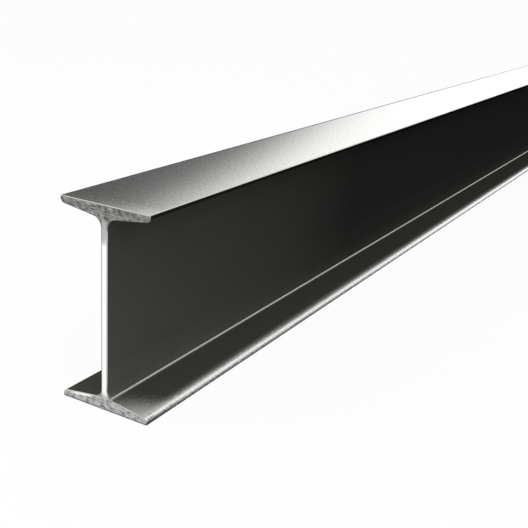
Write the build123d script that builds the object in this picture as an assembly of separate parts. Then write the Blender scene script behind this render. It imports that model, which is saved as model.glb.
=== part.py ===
from build123d import *

import os
from math import radians, tan

# A hot-rolled steel I-beam with tapered flanges, in millimetres.
# It lies along X and stands on its lower flange. +Z is up, Y is across the flanges.
# The origin is on the underside, halfway along the beam and in line with the web.

# Driving dimensions
BEAM_LENGTH = 3000.0
SECTION_DEPTH = 200.0
FLANGE_WIDTH = 100.0
WEB_THICKNESS = 7.0
# Flange thickness, measured on the gauge line: this share of the way from the web's side to the flange's edge.
FLANGE_THICKNESS = 10.0
GAUGE_LINE_SHARE = 0.5
# Slope of each flange's inner face, in degrees: the flange is thickest at the web.
INNER_FACE_SLOPE = 8.0
# Fillet where the web meets a flange's inner face.
ROOT_RADIUS = 10.0
# Rounding of a flange's toe, between its inner face and its edge.
TOE_RADIUS = 5.0
# The small round that the rolls leave on a flange's outer corners.
OUTER_CORNER_RADIUS = 1.2


def flange_thickness_at(distance_from_web_middle: float) -> float:
    """Thickness of the tapered flange there, before its corners are rounded."""
    outstand = (FLANGE_WIDTH - WEB_THICKNESS) / 2
    gauge_line = WEB_THICKNESS / 2 + outstand * GAUGE_LINE_SHARE
    return FLANGE_THICKNESS + (gauge_line - distance_from_web_middle) * tan(radians(INNER_FACE_SLOPE))


def section_corners() -> list[tuple[tuple[float, float], float]]:
    """Corners of the section about its centre, each with the radius that the rolls give it."""
    edge = FLANGE_WIDTH / 2
    web_side = WEB_THICKNESS / 2
    outer_face = SECTION_DEPTH / 2
    toe = outer_face - flange_thickness_at(edge)
    root = outer_face - flange_thickness_at(web_side)
    upper_right = [
        ((edge, outer_face), OUTER_CORNER_RADIUS),
        ((edge, toe), TOE_RADIUS),
        ((web_side, root), ROOT_RADIUS),
    ]
    lower_right = [((y, -z), radius) for (y, z), radius in reversed(upper_right)]
    right = upper_right + lower_right
    left = [((-y, -z), radius) for (y, z), radius in right]
    return right + left


def rolled_section() -> Sketch:
    """The I section: straight faces joined by arcs that are tangent to them."""
    corners = section_corners()
    with BuildSketch() as section:
        with BuildLine():
            FilletPolyline(
                *[point for point, _ in corners],
                radius=[radius for _, radius in corners],
                close=True,
            )
        make_face()
    return section.sketch


def i_beam() -> Part:
    """The stock length: the section carried along X between two square sawn ends."""
    across = Plane(origin=(0, 0, SECTION_DEPTH / 2), x_dir=(0, 1, 0), z_dir=(1, 0, 0))
    return extrude(across * rolled_section(), amount=BEAM_LENGTH / 2, both=True)


os.makedirs("parts", exist_ok=True)
beam = i_beam()
beam.label = "i_beam"
export_step(beam, "parts/i_beam.step")

section_area = rolled_section().area
print(f"section area {section_area:.1f} mm2, solids {len(beam.solids())}, volume {beam.volume:.0f} mm3")
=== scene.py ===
"""Looks of a rolled steel I-beam: its finishes and sawn ends, with the studio that it stands in."""
import logging
import math
from dataclasses import dataclass
from enum import Enum

import bpy
from mathutils import Matrix, Vector


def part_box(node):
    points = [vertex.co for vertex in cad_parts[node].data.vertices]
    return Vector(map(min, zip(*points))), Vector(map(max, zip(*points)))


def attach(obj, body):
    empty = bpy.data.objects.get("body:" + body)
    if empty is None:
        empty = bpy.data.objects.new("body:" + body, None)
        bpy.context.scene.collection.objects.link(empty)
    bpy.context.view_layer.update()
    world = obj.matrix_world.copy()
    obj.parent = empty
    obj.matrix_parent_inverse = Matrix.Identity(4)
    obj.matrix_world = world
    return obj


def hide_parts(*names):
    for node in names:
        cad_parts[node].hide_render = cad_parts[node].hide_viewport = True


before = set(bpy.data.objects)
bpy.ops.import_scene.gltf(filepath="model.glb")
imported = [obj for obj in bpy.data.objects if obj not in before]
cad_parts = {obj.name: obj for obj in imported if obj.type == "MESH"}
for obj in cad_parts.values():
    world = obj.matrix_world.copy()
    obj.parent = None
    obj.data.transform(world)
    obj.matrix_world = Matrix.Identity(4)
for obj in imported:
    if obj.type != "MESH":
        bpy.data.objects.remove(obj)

logging.basicConfig(level=logging.INFO, format="%(name)s: %(message)s")
log = logging.getLogger("i_beam")

MM = 0.001
CAD_NODE = "i_beam"

# What a node's input can be linked to.
Source = bpy.types.Node | bpy.types.NodeSocket


class Face(Enum):
    """The kinds of face on the beam, by the input of the rolling tree that takes their finish."""

    INNER = "Inner Finish"
    OUTER = "Outer Finish"
    SAWN = "Sawn Finish"


def linear(hex_colour: str) -> tuple[float, float, float, float]:
    """Turns an sRGB hex value into the linear colour that a shader takes.

    Args:
        hex_colour: Six hex digits after a hash, such as "#3a3a38".

    Returns:
        Red, green, blue and an alpha of one.
    """
    shares = [int(hex_colour[i : i + 2], 16) / 255 for i in (1, 3, 5)]
    straight = [s / 12.92 if s <= 0.04045 else ((s + 0.055) / 1.055) ** 2.4 for s in shares]
    return (*straight, 1.0)


def add_node(
    tree: bpy.types.NodeTree,
    kind: str,
    inputs: dict | None = None,
    stops: list[tuple[float, str]] | None = None,
    **settings,
) -> bpy.types.Node:
    """Adds one node to a tree, with its settings, values and links.

    Args:
        tree: The shader or geometry tree that gets the node.
        kind: The node's type.
        inputs: Name, or number among the inputs in use, to a value, an output or a node, which links its
            first output in use.
        stops: Places and sRGB hex colours of a colour ramp, in order, two or more.
        **settings: Properties of the node, set before its inputs.

    Returns:
        The new node.
    """
    node = tree.nodes.new(kind)
    for name, value in settings.items():
        setattr(node, name, value)
    for number, (place, colour) in enumerate(stops or []):
        # A new ramp already has two stops, which take the first two places.
        ramp = node.color_ramp.elements
        stop = ramp[number] if number < 2 else ramp.new(place)
        stop.position, stop.color = place, linear(colour)
    in_use = [socket for socket in node.inputs if socket.enabled]
    for name, value in (inputs or {}).items():
        socket = in_use[name] if isinstance(name, int) else next(s for s in in_use if s.name == name)
        if isinstance(value, bpy.types.Node):
            value = next(output for output in value.outputs if output.enabled)
        if isinstance(value, bpy.types.NodeSocket):
            tree.links.new(value, socket)
        else:
            socket.default_value = value
    return node


@dataclass(frozen=True)
class RolledSection:
    """The I section of the beam, in metres: the sizes that its rolls are cut to."""

    depth: float
    width: float
    web: float = 7.0 * MM
    flange: float = 10.0 * MM
    inner_slope: float = math.radians(8.0)
    root_radius: float = 10.0 * MM
    toe_radius: float = 5.0 * MM
    corner_radius: float = 1.2 * MM

    def flange_at(self, off_middle: float) -> float:
        """Thickness of the tapered flange at a distance from the web's middle."""
        gauge_line = (self.web + self.width) / 4
        return self.flange + (gauge_line - off_middle) * math.tan(self.inner_slope)

    def on_root(self, turn: float) -> tuple[float, float]:
        """A place on the fillet between the web and the lower flange.

        Args:
            turn: Angle from the fillet's start on the web, in radians.

        Returns:
            Distance from the web's middle, and height above the underside.
        """
        centre_across = self.web / 2 + self.root_radius
        centre_up = self.flange_at(centre_across) + self.root_radius / math.cos(self.inner_slope)
        across = centre_across - self.root_radius * math.cos(turn)
        return across, centre_up - self.root_radius * math.sin(turn)

    def corners(self) -> list[tuple[float, float, float]]:
        """Corners about the section's centre.

        Returns:
            Across, up and radius of each corner, in order round the section.
        """
        edge, outer = self.width / 2, self.depth / 2
        upper_right = [
            (edge, outer, self.corner_radius),
            (edge, outer - self.flange_at(edge), self.toe_radius),
            (self.web / 2, outer - self.flange_at(self.web / 2), self.root_radius),
        ]
        right = upper_right + [(y, -z, radius) for y, z, radius in reversed(upper_right)]
        return right + [(-y, -z, radius) for y, z, radius in right]


class Finish:
    """A material while it is built: its tree, and the object's own coordinates to read."""

    def __init__(self, name: str) -> None:
        """Starts a material.

        Args:
            name: The material's name, which says what the finish is.
        """
        self.material = bpy.data.materials.new(name)
        self.material.use_nodes = True
        self.tree = self.material.node_tree
        self.tree.nodes.clear()
        self.place = self.add("ShaderNodeTexCoord").outputs["Object"]
        self.along, self.across, self.up = self.add("ShaderNodeSeparateXYZ", {"Vector": self.place}).outputs

    def add(self, kind: str, inputs: dict | None = None, **settings) -> bpy.types.Node:
        """Adds one node to this finish, as add_node does."""
        return add_node(self.tree, kind, inputs, **settings)

    def shaded(self, inputs: dict) -> bpy.types.Material:
        """Ends the tree with a principled shader that takes these inputs, and hands over the material."""
        self.add("ShaderNodeOutputMaterial", {"Surface": self.add("ShaderNodeBsdfPrincipled", inputs)})
        return self.material


@dataclass(frozen=True)
class BrushedOuterFace:
    """Hot-rolled steel with its scale brushed off: the top of the beam and its underside.

    The bare metal mirrors the studio softly, so the top shades from grey beside the cut to white along the
    beam.
    """

    section: RolledSection
    light_grain: str = "#dbdbd7"
    dark_grain: str = "#c1c1bf"
    grain_width: float = 2.0 * MM
    grain_length: float = 5.0 * MM
    grain_relief: float = 0.0012 * MM
    roughness: float = 0.11
    pit_roughness: float = 0.25
    pit_size: float = 1.8 * MM
    patch_size: float = 14.0 * MM
    scuffed_roughness: float = 0.55
    scuffed_width: float = 1.2 * MM
    scale_line: str = "#2b2b29"
    scale_line_width: float = 2.4 * MM

    def pits(self, steel: Finish) -> bpy.types.Node:
        """Few small pits from the rolling, drawn several times their size so that they show as specks.

        Args:
            steel: The finish that gets the nodes.

        Returns:
            Share of pit at a place.
        """
        spots = steel.add(
            "ShaderNodeTexNoise", {"Vector": steel.place, "Scale": 1 / self.pit_size, "Detail": 2.0}
        )
        patches = steel.add(
            "ShaderNodeTexNoise", {"Vector": steel.place, "Scale": 1 / self.patch_size, "Detail": 2.0}
        )
        patchy = steel.add("ShaderNodeMath", {0: patches, 1: 0.15, 2: spots}, operation="MULTIPLY_ADD")
        return steel.add(
            "ShaderNodeMapRange",
            {"Value": patchy, "From Min": 0.76, "From Max": 0.83},
            interpolation_type="SMOOTHSTEP",
        )

    def build(self) -> bpy.types.Material:
        """Makes the material.

        Returns:
            The finish of the beam's flat top and of its underside.
        """
        steel = Finish("brushed_hot_rolled_steel")
        flat_edge = self.section.width / 2 - self.section.corner_radius
        # Real grains are finer: these are as wide as two dots of the render, so that they show, and the brush
        # has drawn them out along the beam.
        drawn_out = steel.add(
            "ShaderNodeMapping",
            {"Vector": steel.place, "Scale": (self.grain_length, self.grain_width, self.grain_width)},
            vector_type="TEXTURE",
        )
        grain = steel.add("ShaderNodeTexNoise", {"Vector": drawn_out, "Scale": 1.0, "Detail": 2.0})
        grains = steel.add("ShaderNodeMapRange", {"Value": grain, "From Min": 0.4, "From Max": 0.6})
        tone = steel.add(
            "ShaderNodeMix",
            {"Factor": grains, "A": linear(self.dark_grain), "B": linear(self.light_grain)},
            data_type="RGBA",
        )
        relief = steel.add("ShaderNodeBump", {"Height": grain, "Distance": self.grain_relief})
        pitted = steel.add(
            "ShaderNodeMapRange",
            {"Value": self.pits(steel), "To Min": self.roughness, "To Max": self.pit_roughness},
        )
        # Handling has scuffed the near edge, so it catches light as a thin line from the cut onwards.
        scuffed = steel.add(
            "ShaderNodeMapRange",
            {
                "Value": steel.across,
                "From Min": -flat_edge,
                "From Max": -flat_edge + self.scuffed_width,
                "To Min": self.scuffed_roughness,
                "To Max": 0.0,
            },
        )
        rough = steel.add("ShaderNodeMath", {0: pitted, 1: scuffed}, operation="MAXIMUM")
        # The brush has left a thin line of scale along the far edge, which outlines the white top.
        brushed = steel.add(
            "ShaderNodeMapRange",
            {
                "Value": steel.across,
                "From Min": flat_edge - self.scale_line_width + 1.0 * MM,
                "From Max": flat_edge - self.scale_line_width,
            },
        )
        lined = steel.add(
            "ShaderNodeMix", {"Factor": brushed, "A": linear(self.scale_line), "B": tone}, data_type="RGBA"
        )
        return steel.shaded(
            {
                "Base Color": lined,
                "Metallic": brushed,
                "Roughness": rough,
                "Normal": relief,
                "Specular IOR Level": 0.0,
            }
        )


@dataclass(frozen=True)
class MillScale:
    """Black oxide that hot rolling leaves on the web and the flanges' inner faces.

    It is dark and matt. Painted light makes it lighter towards the sawn ends and low on the web, and
    painted shade darkens it under the upper flange and most on that flange's edge. One toe of the lower
    flange and one corner of the upper flange are worn to bright metal that carries a painted highlight, the
    lines of the lower root fillets are painted highlights of bright metal, and a patch of painted light lies
    on the lower flange beside each cut.
    """

    section: RolledSection
    half_length: float
    # Tones by height in millimetres, beside a cut and in the middle of the beam: the lower flange, its root,
    # the web and the edge of the upper flange. They carry painted light, lighter beside the cuts and low on
    # the web, and painted shade, darker under the upper flange and darkest on its edge.
    end_tones_with_painted_shading: tuple[tuple[float, str], ...] = (
        (12.8, "#444441"),
        (15.0, "#4b4b48"),
        (33.0, "#474744"),
        (46.0, "#41413e"),
        (85.0, "#3e3e3b"),
        (137.0, "#3a3a37"),
        (163.0, "#383835"),
        (190.0, "#363633"),
        (195.6, "#30302e"),
        (196.6, "#171716"),
    )
    middle_tones_with_painted_shading: tuple[tuple[float, str], ...] = (
        (12.8, "#3c3c3a"),
        (15.0, "#2f2f2d"),
        (22.0, "#2e2e2c"),
        (33.0, "#262625"),
        (46.0, "#252524"),
        (59.0, "#212120"),
        (85.0, "#1f1f1f"),
        (137.0, "#1e1e1d"),
        (190.0, "#1c1c1b"),
        (195.6, "#151515"),
        (196.6, "#0a0a0a"),
    )
    # Tones of the painted highlight across the worn toe, as shares of its width, from its inner side to the
    # bottom of its edge.
    toe_highlight_tones: tuple[tuple[float, str], ...] = (
        (0.0, "#3a3a38"),
        (0.18, "#4a4a48"),
        (0.33, "#6a6a68"),
        (0.43, "#9a9a98"),
        (0.5, "#cacac8"),
        (0.57, "#e2e2e0"),
        (0.72, "#ccccca"),
        (0.82, "#8e8e8c"),
        (0.9, "#6a6a68"),
        (0.97, "#363634"),
    )
    toe_width: float = 22.0 * MM
    toe_grain: float = 1.6 * MM
    toe_wander: float = 5.0 * MM
    broader: float = 1.8 * MM
    broader_length: float = 60.0 * MM
    # A painted highlight that carries the toe's bright edge on away from the cuts.
    far_toe_highlight: str = "#f8f8f6"
    far_toe_highlight_start: float = 350.0 * MM
    far_toe_highlight_full: float = 850.0 * MM
    far_toe_highlight_share: float = 0.7
    # The patch of painted light beside the cut slants in towards the toe, and its metal thins out between
    # two places from the cut.
    painted_cut_light: str = "#dededb"
    cut_light_slant: float = 0.7
    cut_light_wander: float = 18.0 * MM
    cut_light_full: float = -35.0 * MM
    cut_light_end: float = 20.0 * MM
    speckle_size: float = 2.0 * MM
    # Bright metal of the painted highlight along the lower root fillets, also on the worn near corner.
    line: str = "#b4b4b0"
    root_highlight_turn: float = math.radians(56.0)
    fade: float = 520.0 * MM
    fade_wander: float = 60.0 * MM
    cloud_length: float = 250.0 * MM
    cloud_width: float = 83.3 * MM
    pit_size: float = 2.0 * MM
    scale_roughness: float = 0.6
    metal_roughness: float = 0.35
    relief: float = 0.02 * MM

    def end_distance(self, scale: Finish) -> bpy.types.Node:
        """Distance from the nearer sawn end."""
        off_middle = scale.add("ShaderNodeMath", {0: scale.along}, operation="ABSOLUTE")
        return scale.add("ShaderNodeMath", {0: self.half_length, 1: off_middle}, operation="SUBTRACT")

    def oxide(self, scale: Finish) -> bpy.types.Node:
        """The scale's tones before any wear, with their painted light and painted shade.

        Args:
            scale: The finish that gets the nodes.

        Returns:
            Its colour at a place, by height and by distance from an end.
        """
        depth = self.section.depth
        # Scale cools in patches some decimetres long, which break up the fade of the painted light from the
        # ends.
        clouds = scale.add(
            "ShaderNodeMapping",
            {"Vector": scale.place, "Scale": (self.cloud_length, self.cloud_width, self.cloud_width)},
            vector_type="TEXTURE",
        )
        cloud = scale.add("ShaderNodeTexNoise", {"Vector": clouds, "Scale": 1.0, "Detail": 3.0})
        shift = scale.add(
            "ShaderNodeMapRange", {"Value": cloud, "To Min": -self.fade_wander, "To Max": self.fade_wander}
        )
        distance = scale.add("ShaderNodeMath", {0: self.end_distance(scale), 1: shift}, operation="ADD")
        # The painted light beside the cuts fades out over this distance.
        inwards = scale.add("ShaderNodeMapRange", {"Value": distance, "From Max": self.fade})
        height = scale.add("ShaderNodeMapRange", {"Value": scale.up, "From Max": depth})
        ramps = []
        for tones in (self.end_tones_with_painted_shading, self.middle_tones_with_painted_shading):
            stops = [(up * MM / depth, tone) for up, tone in tones]
            ramps.append(scale.add("ShaderNodeValToRGB", {"Fac": height}, stops=stops))
        return scale.add(
            "ShaderNodeMix", {"Factor": inwards, "A": ramps[0], "B": ramps[1]}, data_type="RGBA"
        )

    def round_toe(self, scale: Finish) -> bpy.types.Node:
        """How far round the lower flange's near toe a place is.

        Args:
            scale: The finish that gets the nodes.

        Returns:
            A length that grows outwards across the toe and then down its edge, where it is half the width.
        """
        outwards = scale.add("ShaderNodeMath", {0: scale.across, 1: scale.up}, operation="ADD")
        # The edge of the wear and of its painted highlight is ragged in steps of half a millimetre, drawn 1.6
        # mm coarse so that they show.
        ragged = scale.add(
            "ShaderNodeTexNoise", {"Vector": scale.place, "Scale": 1 / self.toe_grain, "Detail": 2.0}
        )
        shift = scale.add(
            "ShaderNodeMapRange", {"Value": ragged, "To Min": -self.toe_wander, "To Max": self.toe_wander}
        )
        place = scale.add("ShaderNodeMath", {0: shift, 1: outwards}, operation="SUBTRACT")
        # The wear and its painted highlight are broader beside the cut.
        broader = scale.add(
            "ShaderNodeMapRange",
            {
                "Value": self.end_distance(scale),
                "From Max": self.broader_length,
                "To Min": self.broader,
                "To Max": 0.0,
            },
        )
        return scale.add("ShaderNodeMath", {0: place, 1: broader}, operation="ADD")

    def root_highlight_line(self, scale: Finish) -> bpy.types.Node:
        """The painted highlight along each lower root fillet: a thin line of bright metal.

        Args:
            scale: The finish that gets the nodes.

        Returns:
            Share of bare metal at a place.
        """
        line_across, line_up = self.section.on_root(self.root_highlight_turn)
        off_middle = scale.add("ShaderNodeMath", {0: scale.across}, operation="ABSOLUTE")
        here = scale.add("ShaderNodeCombineXYZ", {"Y": off_middle, "Z": scale.up})
        away = scale.add(
            "ShaderNodeVectorMath", {0: here, 1: (0.0, line_across, line_up)}, operation="DISTANCE"
        )
        return scale.add(
            "ShaderNodeMapRange",
            {"Value": away.outputs["Value"], "From Min": 1.5 * MM, "From Max": 0.3 * MM},
            interpolation_type="SMOOTHSTEP",
        )

    def worn_corner_with_highlight(self, scale: Finish) -> bpy.types.Node:
        """The small round along the top's near edge, worn to bright metal that carries a painted highlight.

        Args:
            scale: The finish that gets the nodes.

        Returns:
            Share of bare metal at a place.
        """
        depth = self.section.depth
        high = scale.add(
            "ShaderNodeMapRange",
            {"Value": scale.up, "From Min": depth - 0.6 * MM, "From Max": depth - 0.2 * MM},
        )
        near = scale.add("ShaderNodeMath", {0: scale.across, 1: 0.0}, operation="LESS_THAN")
        return scale.add("ShaderNodeMath", {0: high, 1: near}, operation="MULTIPLY")

    def painted_cut_light_patch(self, scale: Finish, round_toe: bpy.types.Node) -> bpy.types.Node:
        """A patch of painted light beside each cut on the lower flange's near half.

        Args:
            scale: The finish that gets the nodes.
            round_toe: How far round the near toe a place is.

        Returns:
            Share of painted light at a place: it reaches further in, and is brighter, towards the toe.
        """
        edge = self.section.width / 2
        slanted = scale.add(
            "ShaderNodeMath",
            {0: scale.across, 1: self.cut_light_slant, 2: self.end_distance(scale)},
            operation="MULTIPLY_ADD",
        )
        # Speckles 2 mm across make the edge of the painted light ragged.
        speckle = scale.add(
            "ShaderNodeTexNoise", {"Vector": scale.place, "Scale": 1 / self.speckle_size, "Detail": 3.0}
        )
        ragged = scale.add(
            "ShaderNodeMapRange",
            {"Value": speckle, "To Min": -self.cut_light_wander, "To Max": self.cut_light_wander},
        )
        inwards = scale.add("ShaderNodeMath", {0: slanted, 1: ragged}, operation="ADD")
        beside_cut = scale.add(
            "ShaderNodeMapRange",
            {"Value": inwards, "From Min": self.cut_light_end, "From Max": self.cut_light_full},
            interpolation_type="SMOOTHSTEP",
        )
        towards_toe = scale.add(
            "ShaderNodeMapRange",
            {
                "Value": scale.across,
                "From Min": -edge + 4.0 * MM,
                "From Max": -8.0 * MM,
                "To Min": 0.8,
                "To Max": 0.16,
            },
        )
        off_edge = scale.add(
            "ShaderNodeMapRange",
            {"Value": round_toe, "From Min": edge - 3.5 * MM, "From Max": edge - 7.0 * MM},
        )
        low = scale.add(
            "ShaderNodeMapRange", {"Value": scale.up, "From Min": 18.0 * MM, "From Max": 14.0 * MM}
        )
        near = scale.add("ShaderNodeMath", {0: scale.across, 1: 0.0}, operation="LESS_THAN")
        share = beside_cut
        for factor in (towards_toe, off_edge, low, near):
            share = scale.add("ShaderNodeMath", {0: share, 1: factor}, operation="MULTIPLY")
        return share

    def toe(self, scale: Finish, round_toe: bpy.types.Node) -> tuple[bpy.types.Node, bpy.types.Node]:
        """The worn toe with its painted highlight.

        Args:
            scale: The finish that gets the nodes.
            round_toe: How far round the near toe a place is.

        Returns:
            Its colour, with the painted highlight, and share of bare metal at a place.
        """
        edge = self.section.width / 2
        along_toe = scale.add(
            "ShaderNodeMapRange", {"Value": round_toe, "From Min": edge - self.toe_width, "From Max": edge}
        )
        tone = scale.add("ShaderNodeValToRGB", {"Fac": along_toe}, stops=list(self.toe_highlight_tones))
        # Only the middle of the toe is worn through to metal: its inner side and the corner below stay matt.
        through = scale.add(
            "ShaderNodeMapRange",
            {"Value": round_toe, "From Min": edge - 12.0 * MM, "From Max": edge - 7.0 * MM},
            interpolation_type="SMOOTHSTEP",
        )
        above_corner = scale.add(
            "ShaderNodeMapRange",
            {"Value": round_toe, "From Min": edge - 1.5 * MM, "From Max": edge - 4.0 * MM},
        )
        metal = scale.add("ShaderNodeMath", {0: through, 1: above_corner}, operation="MULTIPLY")
        # Away from the cuts a painted highlight brightens the toe's edge too.
        away = scale.add(
            "ShaderNodeMapRange",
            {
                "Value": self.end_distance(scale),
                "From Min": self.far_toe_highlight_start,
                "From Max": self.far_toe_highlight_full,
                "To Max": self.far_toe_highlight_share,
            },
        )
        outer = scale.add(
            "ShaderNodeMapRange",
            {"Value": round_toe, "From Min": edge - 9.0 * MM, "From Max": edge - 5.0 * MM},
        )
        far_toe_highlight = scale.add("ShaderNodeMath", {0: outer, 1: above_corner}, operation="MULTIPLY")
        far_toe_highlight = scale.add("ShaderNodeMath", {0: away, 1: far_toe_highlight}, operation="MULTIPLY")
        tone = scale.add(
            "ShaderNodeMix", {"Factor": far_toe_highlight, "A": tone, "B": linear(self.far_toe_highlight)}, data_type="RGBA"
        )
        return tone, metal

    def build(self) -> bpy.types.Material:
        """Makes the material.

        Returns:
            The finish of the web, the inner faces and the edges.
        """
        scale = Finish("worn_mill_scale")
        round_toe = self.round_toe(scale)
        toe_highlight_tone, toe_metal = self.toe(scale, round_toe)
        toe_start = self.section.width / 2 - self.toe_width
        # The worn toe's tones carry a painted highlight.
        on_toe_highlight = scale.add(
            "ShaderNodeMapRange",
            {"Value": round_toe, "From Min": toe_start, "From Max": toe_start + 5.0 * MM},
            interpolation_type="SMOOTHSTEP",
        )
        # A patch of painted light beside each cut on the lower flange.
        patch = self.painted_cut_light_patch(scale, round_toe)
        # Painted highlights: the line along each lower root fillet and the worn near corner.
        line = scale.add(
            "ShaderNodeMath", {0: self.root_highlight_line(scale), 1: self.worn_corner_with_highlight(scale)}, operation="MAXIMUM"
        )
        # The scale's colour, with its painted light and painted shade.
        colour = self.oxide(scale)
        for share, tone in ((on_toe_highlight, toe_highlight_tone), (line, linear(self.line)), (patch, linear(self.painted_cut_light))):
            colour = scale.add("ShaderNodeMix", {"Factor": share, "A": colour, "B": tone}, data_type="RGBA")
        # Only half of the patch of painted light is bare metal, and the rest shades as matt.
        half_patch = scale.add("ShaderNodeMath", {0: patch, 1: 0.5}, operation="MULTIPLY")
        worn = scale.add("ShaderNodeMath", {0: line, 1: toe_metal}, operation="MAXIMUM")
        metal = scale.add("ShaderNodeMath", {0: worn, 1: half_patch}, operation="MAXIMUM")
        rough = scale.add(
            "ShaderNodeMapRange",
            {"Value": metal, "To Min": self.scale_roughness, "To Max": self.metal_roughness},
        )
        # The scale's own pits are some tenths of a millimetre wide, drawn 2 mm coarse so that they show.
        pits = scale.add(
            "ShaderNodeTexNoise", {"Vector": scale.place, "Scale": 1 / self.pit_size, "Detail": 3.0}
        )
        relief = scale.add("ShaderNodeBump", {"Height": pits, "Distance": self.relief})
        # Without any shine of its own the scale stays black at a grazing view, as it does in the photograph.
        return scale.shaded(
            {
                "Base Color": colour,
                "Metallic": metal,
                "Roughness": rough,
                "Normal": relief,
                "Specular IOR Level": 0.0,
            }
        )


@dataclass(frozen=True)
class SawnEnd:
    """Cold-sawn steel: bright on the thin web, torn and mottled grey where the blade crossed the flanges."""

    section: RolledSection
    dark: str = "#454543"
    fleck: str = "#e6e6e2"
    # Colour of the painted glint on the lower flange's sawn face.
    glint: str = "#fdfdfb"
    # Tones by share of the depth: lower flange, web, the grey length under the upper flange, upper flange.
    tones: tuple[tuple[float, str], ...] = (
        (0.0, "#bababa"),
        (0.055, "#bebebc"),
        (0.085, "#fdfdfb"),
        (0.81, "#fdfdfb"),
        (0.835, "#c2c2c0"),
        (0.93, "#b0b0ae"),
        (0.95, "#8c8c8a"),
        (1.0, "#868684"),
    )
    tone_wander: float = 5.0 * MM
    torn_spot: float = 5.0 * MM
    torn_share: float = 0.85
    fleck_share: float = 0.6
    fillet_dull: float = 0.7
    burr_dull: float = 0.9
    underside_dull: float = 0.75
    sliver_middle: float = 27.0 * MM
    sliver_top: float = 20.0 * MM
    streak_depth: float = 3.0 * MM
    streak_length: float = 6.0 * MM
    streak_width: float = 1.1 * MM
    streak_tilt: float = math.radians(8.0)
    roughness: float = 0.4
    relief: float = 0.02 * MM

    def below_face(self, cut: Finish, across: Source, up: Source) -> bpy.types.Node:
        """Depth of a place under a flange's inner face.

        Args:
            cut: The finish that gets the nodes.
            across: Distance from the web's middle.
            up: Height above the flange's outer face.

        Returns:
            The depth, which is negative in a root fillet and on the web.
        """
        slope, thickness = math.tan(self.section.inner_slope), self.section.flange_at(0.0)
        face = cut.add("ShaderNodeMath", {0: across, 1: -slope, 2: thickness}, operation="MULTIPLY_ADD")
        return cut.add("ShaderNodeMath", {0: face, 1: up}, operation="SUBTRACT")

    def dull(self, cut: Finish, off_centre: bpy.types.Node) -> bpy.types.Node:
        """The dull metal: root fillets where the blade dragged, one side of the web, and the underside.

        Args:
            cut: The finish that gets the nodes.
            off_centre: Distance of a place from half the section's depth.

        Returns:
            Share of dull metal at a place.
        """
        across = cut.add("ShaderNodeMath", {0: cut.across}, operation="ABSOLUTE")
        up = cut.add("ShaderNodeMath", {0: self.section.depth / 2, 1: off_centre}, operation="SUBTRACT")
        in_fillet = cut.add(
            "ShaderNodeMapRange",
            {
                "Value": self.below_face(cut, across, up),
                "From Min": -0.6 * MM,
                "From Max": 0.6 * MM,
                "To Min": self.fillet_dull,
                "To Max": 0.0,
            },
        )
        off_web = cut.add(
            "ShaderNodeMapRange",
            {"Value": across, "From Min": self.section.web / 2, "From Max": self.section.web / 2 + 1.2 * MM},
        )
        burr = cut.add(
            "ShaderNodeMapRange",
            {"Value": cut.across, "From Min": 2.0 * MM, "From Max": 2.7 * MM, "To Max": self.burr_dull},
        )
        beside = cut.add("ShaderNodeMath", {0: off_web, 1: burr}, operation="MAXIMUM")
        fillet = cut.add("ShaderNodeMath", {0: in_fillet, 1: beside}, operation="MULTIPLY")
        underside = cut.add(
            "ShaderNodeMapRange",
            {"Value": cut.up, "From Min": 2.4 * MM, "From Max": 0.8 * MM, "To Max": self.underside_dull},
        )
        return cut.add("ShaderNodeMath", {0: fillet, 1: underside}, operation="MAXIMUM")

    def sliver(self, cut: Finish) -> bpy.types.Node:
        """A painted glint on the sawn face, just under one inner face of the lower flange.

        Args:
            cut: The finish that gets the nodes.

        Returns:
            Share of the painted glint at a place.
        """
        shallow = cut.add(
            "ShaderNodeMapRange",
            {
                "Value": self.below_face(cut, cut.across, cut.up),
                "From Min": 3.2 * MM,
                "From Max": 1.8 * MM,
            },
        )
        off_middle = cut.add("ShaderNodeMath", {0: cut.across, 1: self.sliver_middle}, operation="SUBTRACT")
        off_middle = cut.add("ShaderNodeMath", {0: off_middle}, operation="ABSOLUTE")
        reach = cut.add(
            "ShaderNodeMapRange", {"Value": off_middle, "From Min": 14.0 * MM, "From Max": 9.0 * MM}
        )
        low = cut.add("ShaderNodeMath", {0: cut.up, 1: self.sliver_top}, operation="LESS_THAN")
        share = cut.add("ShaderNodeMath", {0: shallow, 1: reach}, operation="MULTIPLY")
        return cut.add("ShaderNodeMath", {0: share, 1: low}, operation="MULTIPLY")

    def build(self) -> bpy.types.Material:
        """Makes the material.

        Returns:
            The finish of both sawn faces.
        """
        cut = Finish("cold_sawn_steel")
        half = self.section.depth / 2
        # The blade tears the metal in spots some millimetres wide, which also blur where one tone ends.
        spots = cut.add(
            "ShaderNodeTexNoise", {"Vector": cut.place, "Scale": 1 / self.torn_spot, "Detail": 2.0}
        )
        wander = cut.add(
            "ShaderNodeMapRange", {"Value": spots, "To Min": -self.tone_wander, "To Max": self.tone_wander}
        )
        height = cut.add("ShaderNodeMath", {0: cut.up, 1: wander}, operation="ADD")
        share = cut.add("ShaderNodeMapRange", {"Value": height, "From Max": self.section.depth})
        tone = cut.add("ShaderNodeValToRGB", {"Fac": share}, stops=list(self.tones))
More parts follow.
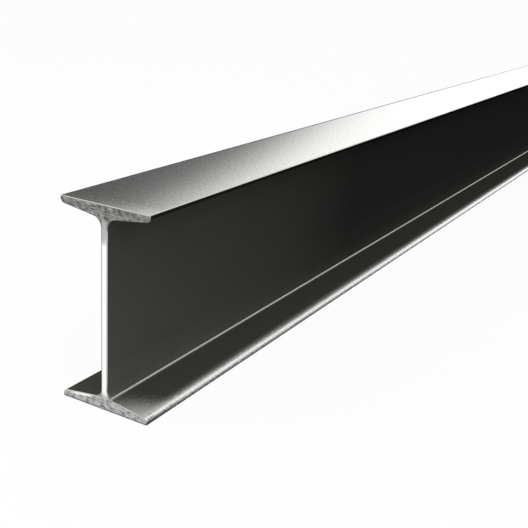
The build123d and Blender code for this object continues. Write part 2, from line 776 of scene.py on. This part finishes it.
        # The teeth leave marks along the flanges some tenths of a millimetre wide, drawn coarser to show.
        turned = cut.add(
            "ShaderNodeMapping",
            {
                "Vector": cut.place,
                "Rotation": (self.streak_tilt, 0.0, 0.0),
                "Scale": (self.streak_depth, self.streak_length, self.streak_width),
            },
            vector_type="TEXTURE",
        )
        streaks = cut.add("ShaderNodeTexNoise", {"Vector": turned, "Scale": 1.0, "Detail": 3.0})
        clustered = cut.add("ShaderNodeMath", {0: spots, 1: 0.7, 2: streaks}, operation="MULTIPLY_ADD")
        torn = cut.add(
            "ShaderNodeMapRange",
            {"Value": clustered, "From Min": 0.79, "From Max": 1.03, "To Max": self.torn_share},
        )
        above_centre = cut.add("ShaderNodeMath", {0: cut.up, 1: -half}, operation="ADD")
        off_centre = cut.add("ShaderNodeMath", {0: above_centre}, operation="ABSOLUTE")
        on_flange = cut.add(
            "ShaderNodeMapRange",
            {"Value": off_centre, "From Min": half - 20.0 * MM, "From Max": half - 12.0 * MM},
        )
        torn_flange = cut.add("ShaderNodeMath", {0: torn, 1: on_flange}, operation="MULTIPLY")
        flecks = cut.add(
            "ShaderNodeMapRange",
            {"Value": streaks, "From Min": 0.42, "From Max": 0.3, "To Max": self.fleck_share},
        )
        # The last of these mixes lays the painted glint.
        for share, colour in (
            (torn_flange, self.dark),
            (flecks, self.fleck),
            (self.dull(cut, off_centre), self.dark),
            (self.sliver(cut), self.glint),
        ):
            tone = cut.add(
                "ShaderNodeMix", {"Factor": share, "A": tone, "B": linear(colour)}, data_type="RGBA"
            )
        relief = cut.add("ShaderNodeBump", {"Height": streaks, "Distance": self.relief})
        return cut.shaded(
            {"Base Color": tone, "Metallic": 1.0, "Roughness": self.roughness, "Normal": relief}
        )


@dataclass(frozen=True)
class FiledRim:
    """The narrow rim that a file leaves round a sawn end: painted highlight above, dull along the underside.
    """

    section: RolledSection
    burr: str = "#3a3a38"
    tint: str = "#a0a0a0"
    # Tones by share of the depth: underside, lower flange, its root, web, upper flange and its top line,
    # a painted highlight.
    tones: tuple[tuple[float, str], ...] = (
        (0.0, "#5c5c5a"),
        (0.012, "#626260"),
        (0.03, "#c2c2be"),
        (0.055, "#c2c2be"),
        (0.07, "#7c7c7a"),
        (0.1, "#7c7c7a"),
        (0.125, "#bcbcba"),
        (0.88, "#bcbcba"),
        (0.895, "#747472"),
        (0.993, "#747472"),
        (0.9955, "#b6b6b4"),
    )
    roughness: float = 0.35

    def build(self) -> bpy.types.Material:
        """Makes the material.

        Returns:
            The finish of the rims.
        """
        rim = Finish("filed_steel_rim")
        half = self.section.depth / 2
        share = rim.add("ShaderNodeMapRange", {"Value": rim.up, "From Max": self.section.depth})
        tone = rim.add("ShaderNodeValToRGB", {"Fac": share}, stops=list(self.tones))
        # The burr that the blade left on one side of the web is dull.
        beside_web = rim.add(
            "ShaderNodeMath", {0: rim.across, 1: self.section.web / 2, 2: 1.0 * MM}, operation="COMPARE"
        )
        between_flanges = rim.add(
            "ShaderNodeMath", {0: rim.up, 1: half, 2: half - 12.0 * MM}, operation="COMPARE"
        )
        burr = rim.add("ShaderNodeMath", {0: beside_web, 1: between_flanges}, operation="MULTIPLY")
        burred = rim.add(
            "ShaderNodeMix", {"Factor": burr, "A": tone, "B": linear(self.burr)}, data_type="RGBA"
        )
        return rim.shaded(
            {
                "Base Color": burred,
                "Metallic": 1.0,
                "Roughness": self.roughness,
                "Specular Tint": linear(self.tint),
            }
        )


@dataclass
class SteelBeam:
    """The beam: one rolled piece, swept from its section, with a sawn face and a filed rim at each end."""

    section: RolledSection
    length: float
    arc_steps: int = 12
    length_steps: int = 120
    rim: float = 0.8 * MM
    rim_steps: int = 2
    sharp_angle: float = math.radians(50.0)
    flat_within: float = 0.001 * MM

    def section_line(self) -> bpy.types.Object:
        """Draws a closed line through the section's corners.

        Returns:
            A curve, each point of which carries its corner's radius.
        """
        line = bpy.data.curves.new("section_line", "CURVE")
        line.dimensions = "2D"
        corners = self.section.corners()
        spline = line.splines.new("POLY")
        spline.points.add(len(corners) - 1)
        for point, (across, up, radius) in zip(spline.points, corners):
            point.co = (across, up, 0.0, 1.0)
            point.radius = radius
        spline.use_cyclic_u = True
        piece = bpy.data.objects.new("section_line", line)
        bpy.context.scene.collection.objects.link(piece)
        return piece

    def rolling_tree(self) -> bpy.types.NodeTree:
        """Builds the tree that rounds the corners, rolls the section along X and gives each face its finish.

        Returns:
            A geometry tree with named inputs for its sizes and finishes.
        """
        tree = bpy.data.node_groups.new("rolled_beam", "GeometryNodeTree")
        sockets = [("Geometry", "Geometry")]
        sockets += [(name, "Float") for name in ("Length", "Depth")]
        sockets += [(name, "Int") for name in ("Arc Steps", "Length Steps")]
        sockets += [(face.value, "Material") for face in Face]
        for name, kind in sockets:
            tree.interface.new_socket(name, in_out="INPUT", socket_type="NodeSocket" + kind)
        tree.interface.new_socket("Geometry", in_out="OUTPUT", socket_type="NodeSocketGeometry")

        given = add_node(tree, "NodeGroupInput").outputs
        profile = add_node(
            tree,
            "GeometryNodeFilletCurve",
            {
                "Curve": given["Geometry"],
                "Radius": add_node(tree, "GeometryNodeInputRadius"),
                "Count": given["Arc Steps"],
            },
            mode="POLY",
        )
        half_length = add_node(tree, "ShaderNodeMath", {0: given["Length"], 1: 0.5}, operation="MULTIPLY")
        back = add_node(tree, "ShaderNodeMath", {0: half_length, 1: -1.0}, operation="MULTIPLY")
        half_depth = add_node(tree, "ShaderNodeMath", {0: given["Depth"], 1: 0.5}, operation="MULTIPLY")
        start = add_node(tree, "ShaderNodeCombineXYZ", {"X": back, "Z": half_depth})
        end = add_node(tree, "ShaderNodeCombineXYZ", {"X": half_length, "Z": half_depth})
        axis = add_node(tree, "GeometryNodeCurvePrimitiveLine", {"Start": start, "End": end})
        steps = add_node(tree, "GeometryNodeResampleCurve", {"Curve": axis, "Count": given["Length Steps"]})
        level = add_node(tree, "GeometryNodeSetCurveNormal", {"Curve": steps}, mode="Z_UP")
        swept = add_node(
            tree, "GeometryNodeCurveToMesh", {"Curve": level, "Profile Curve": profile, "Fill Caps": True}
        )

        # The flat top and the underside lie at the two heights that no other face reaches.
        position = add_node(tree, "GeometryNodeInputPosition")
        height = add_node(tree, "ShaderNodeSeparateXYZ", {"Vector": position}).outputs["Z"]
        normal = add_node(tree, "GeometryNodeInputNormal")
        facing = add_node(tree, "ShaderNodeSeparateXYZ", {"Vector": normal})
        top_start = add_node(
            tree, "ShaderNodeMath", {0: given["Depth"], 1: self.flat_within}, operation="SUBTRACT"
        )
        top = add_node(tree, "ShaderNodeMath", {0: height, 1: top_start}, operation="GREATER_THAN")
        bottom = add_node(tree, "ShaderNodeMath", {0: height, 1: self.flat_within}, operation="LESS_THAN")
        outer = add_node(tree, "ShaderNodeMath", {0: top, 1: bottom}, operation="MAXIMUM")
        along = add_node(tree, "ShaderNodeMath", {0: facing.outputs["X"]}, operation="ABSOLUTE")
        sawn = add_node(tree, "ShaderNodeMath", {0: along, 1: 0.5}, operation="GREATER_THAN")
        piece = swept
        for face, where in ((Face.INNER, True), (Face.OUTER, outer), (Face.SAWN, sawn)):
            painted = {"Geometry": piece, "Selection": where, "Material": given[face.value]}
            piece = add_node(tree, "GeometryNodeSetMaterial", painted)
        solid = add_node(tree, "GeometryNodeRealizeInstances", {0: piece})
        add_node(tree, "NodeGroupOutput", {"Geometry": solid})
        return tree

    def build(self) -> bpy.types.Object:
        """Makes the beam's mesh.

        Returns:
            The finished piece, in the row frame, at the origin.
        """
        line = self.section_line()
        modifier = line.modifiers.new("roll", "NODES")
        modifier.node_group = self.rolling_tree()
        values = {
            "Length": self.length,
            "Depth": self.section.depth,
            "Arc Steps": self.arc_steps,
            "Length Steps": self.length_steps,
            Face.INNER.value: MillScale(self.section, self.length / 2).build(),
            Face.OUTER.value: BrushedOuterFace(self.section).build(),
            Face.SAWN.value: SawnEnd(self.section).build(),
        }
        for item in modifier.node_group.interface.items_tree:
            if item.in_out == "INPUT" and item.name in values:
                modifier[item.identifier] = values[item.name]
        rolled = self.as_mesh(line, "rolled_and_sawn")
        rolled.data.materials.append(FiledRim(self.section).build())
        filed = rolled.modifiers.new("file_the_rim", "BEVEL")
        filed.limit_method = "ANGLE"
        filed.angle_limit = self.sharp_angle
        filed.width = self.rim
        filed.segments = self.rim_steps
        filed.material = len(rolled.data.materials) - 1
        rolled.modifiers.new("flat_faces_stay_flat", "WEIGHTED_NORMAL")
        for polygon in rolled.data.polygons:
            polygon.use_smooth = True
        return self.as_mesh(rolled, "rolled_i_beam")

    def as_mesh(self, source: bpy.types.Object, name: str) -> bpy.types.Object:
        """Turns an object with its modifiers into a plain mesh object.

        Args:
            source: The object, which is removed.
            name: The new object's name.

        Returns:
            The new object, at the origin.
        """
        mesh = bpy.data.meshes.new_from_object(source.evaluated_get(bpy.context.evaluated_depsgraph_get()))
        bpy.data.objects.remove(source)
        piece = bpy.data.objects.new(name, mesh)
        bpy.context.scene.collection.objects.link(piece)
        return piece


@dataclass(frozen=True)
class Studio:
    """A pale floor, soft light and a camera at the photograph's angle."""

    seen_end: Vector
    # The camera, fitted to the photograph: its place is in metres from the seen end.
    lens: float = 59.491
    sensor: float = 36.0
    camera_ahead: float = 0.5650
    camera_aside: float = 0.4753
    camera_height: float = 0.4094
    camera_yaw: float = math.radians(29.051)
    camera_pitch: float = math.radians(-19.320)
    camera_roll: float = math.radians(3.651)
    floor_size: float = 60.0
    paper: str = "#f4f4f4"
    white: str = "#ffffff"
    floor_shown_white: float = 0.94
    # Direction away from the dark flag, and the cosines between which the flag fades into the backdrop.
    away_from_flag: tuple[float, float, float] = (-0.41513, -0.76221, 0.49669)
    flag_edge: tuple[float, float] = (-0.637, -0.588)
    flag_light: float = 0.1
    backdrop_light: float = 1.34
    room_light: float = 0.72

    def camera(self) -> None:
        """Sets the camera ahead of the seen end, aside of the beam and above it."""
        sin_yaw, cos_yaw = math.sin(self.camera_yaw), math.cos(self.camera_yaw)
        sin_pitch, cos_pitch = math.sin(self.camera_pitch), math.cos(self.camera_pitch)
        forward = Vector((cos_pitch * cos_yaw, cos_pitch * sin_yaw, sin_pitch))
        level_right = Vector((sin_yaw, -cos_yaw, 0.0))
        level_up = level_right.cross(forward)
        right = level_right * math.cos(self.camera_roll) + level_up * math.sin(self.camera_roll)
        up = level_up * math.cos(self.camera_roll) - level_right * math.sin(self.camera_roll)
        data = bpy.data.cameras.new("camera")
        data.lens, data.sensor_width = self.lens, self.sensor
        data.clip_start, data.clip_end = 0.01, 100.0
        camera = bpy.data.objects.new("camera", data)
        place = Vector((self.seen_end.x - self.camera_ahead, -self.camera_aside, self.camera_height))
        camera.matrix_world = Matrix.Translation(place) @ Matrix((right, up, -forward)).transposed().to_4x4()
        bpy.context.scene.collection.objects.link(camera)
        bpy.context.scene.camera = camera

    def shown(self, tree: bpy.types.NodeTree) -> bpy.types.Node:
        """Tells the rays that show the background: straight to the camera, in gloss or through glass.

        Args:
            tree: The shader tree that gets the nodes.

        Returns:
            One for those rays, and zero for the rest.
        """
        rays = add_node(tree, "ShaderNodeLightPath").outputs
        shown = rays["Is Camera Ray"]
        for other in ("Is Glossy Ray", "Is Transmission Ray"):
            shown = add_node(tree, "ShaderNodeMath", {0: shown, 1: rays[other]}, operation="MAXIMUM")
        return shown

    def floor(self) -> None:
        """Lays a pale matt floor, white to the camera and in the metal, that keeps a faint shadow."""
        half = self.floor_size / 2
        corners = [(-half, -half, 0), (half, -half, 0), (half, half, 0), (-half, half, 0)]
        mesh = bpy.data.meshes.new("floor")
        mesh.from_pydata(corners, [], [(0, 1, 2, 3)])
        floor = bpy.data.objects.new("floor", mesh)
        bpy.context.scene.collection.objects.link(floor)
        material = bpy.data.materials.new("matt_white_paper")
        material.use_nodes = True
        tree = material.node_tree
        tree.nodes.clear()
        paper = add_node(tree, "ShaderNodeBsdfDiffuse", {"Color": linear(self.paper)})
        white = add_node(tree, "ShaderNodeEmission", {"Color": linear(self.white), "Strength": 1.0})
        share = add_node(
            tree, "ShaderNodeMath", {0: self.shown(tree), 1: self.floor_shown_white}, operation="MULTIPLY"
        )
        mixed = add_node(tree, "ShaderNodeMixShader", {0: share, 1: paper, 2: white})
        add_node(tree, "ShaderNodeOutputMaterial", {"Surface": mixed})
        mesh.materials.append(material)

    def sky(self) -> None:
        """Lights the studio evenly, with a white backdrop that metal sees fall off to a dark flag behind."""
        world = bpy.data.worlds.new("studio")
        world.use_nodes = True
        tree = world.node_tree
        tree.nodes.clear()
        direction = add_node(tree, "ShaderNodeTexCoord").outputs["Generated"]
        away = Vector(self.away_from_flag).normalized()
        turned = add_node(tree, "ShaderNodeVectorMath", {0: direction, 1: away}, operation="DOT_PRODUCT")
        backdrop = add_node(
            tree,
            "ShaderNodeMapRange",
            {
                "Value": turned.outputs["Value"],
                "From Min": self.flag_edge[0],
                "From Max": self.flag_edge[1],
                "To Min": self.flag_light,
                "To Max": self.backdrop_light,
            },
            interpolation_type="SMOOTHSTEP",
        )
        rays = add_node(tree, "ShaderNodeLightPath").outputs
        strength = add_node(
            tree,
            "ShaderNodeMapRange",
            {"Value": rays["Is Camera Ray"], "To Min": backdrop, "To Max": 1.0},
        )
        white = linear(self.white)
        shown = add_node(tree, "ShaderNodeBackground", {"Color": white, "Strength": strength})
        light = add_node(tree, "ShaderNodeBackground", {"Color": white, "Strength": self.room_light})
        mixed = add_node(tree, "ShaderNodeMixShader", {0: self.shown(tree), 1: light, 2: shown})
        add_node(tree, "ShaderNodeOutputWorld", {"Surface": mixed})
        bpy.context.scene.world = world

    def lamp(self, name: str, offset: tuple[float, float, float], size: float, power: float) -> None:
        """Hangs one soft square lamp that faces the seen end.

        Args:
            name: The lamp's name.
            offset: Where its middle is, from the seen end.
            size: Length of its side, in metres.
            power: Its power in watts.
        """
        data = bpy.data.lights.new(name, "AREA")
        data.size, data.energy = size, power
        lamp = bpy.data.objects.new(name, data)
        lamp.location = self.seen_end + Vector(offset)
        lamp.rotation_euler = (-Vector(offset)).to_track_quat("-Z", "Y").to_euler()
        lamp.visible_camera = False
        lamp.visible_glossy = False
        bpy.context.scene.collection.objects.link(lamp)

    def build(self) -> None:
        """Sets the whole studio up."""
        self.camera()
        self.floor()
        self.sky()
        self.lamp("key_softbox", (-0.5, -1.8, 1.1), size=1.2, power=14.0)
        self.lamp("fill_softbox", (-0.6, 1.5, 0.8), size=1.0, power=15.0)
        bpy.context.scene.view_settings.view_transform = "Standard"


def main() -> None:
    """Builds the studio and the beam, in that order."""
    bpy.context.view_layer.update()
    low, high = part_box(CAD_NODE)
    # The photographed end is the one at the lowest X.
    Studio(seen_end=Vector((low.x, (low.y + high.y) / 2, low.z))).build()

    section = RolledSection(depth=high.z - low.z, width=high.y - low.y)
    beam = SteelBeam(section, high.x - low.x).build()
    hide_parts(CAD_NODE)
    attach(beam, "root")
    log.info("%s: %d faces, %d finishes", beam.name, len(beam.data.polygons), len(beam.data.materials))


if __name__ == "__main__":
    main()
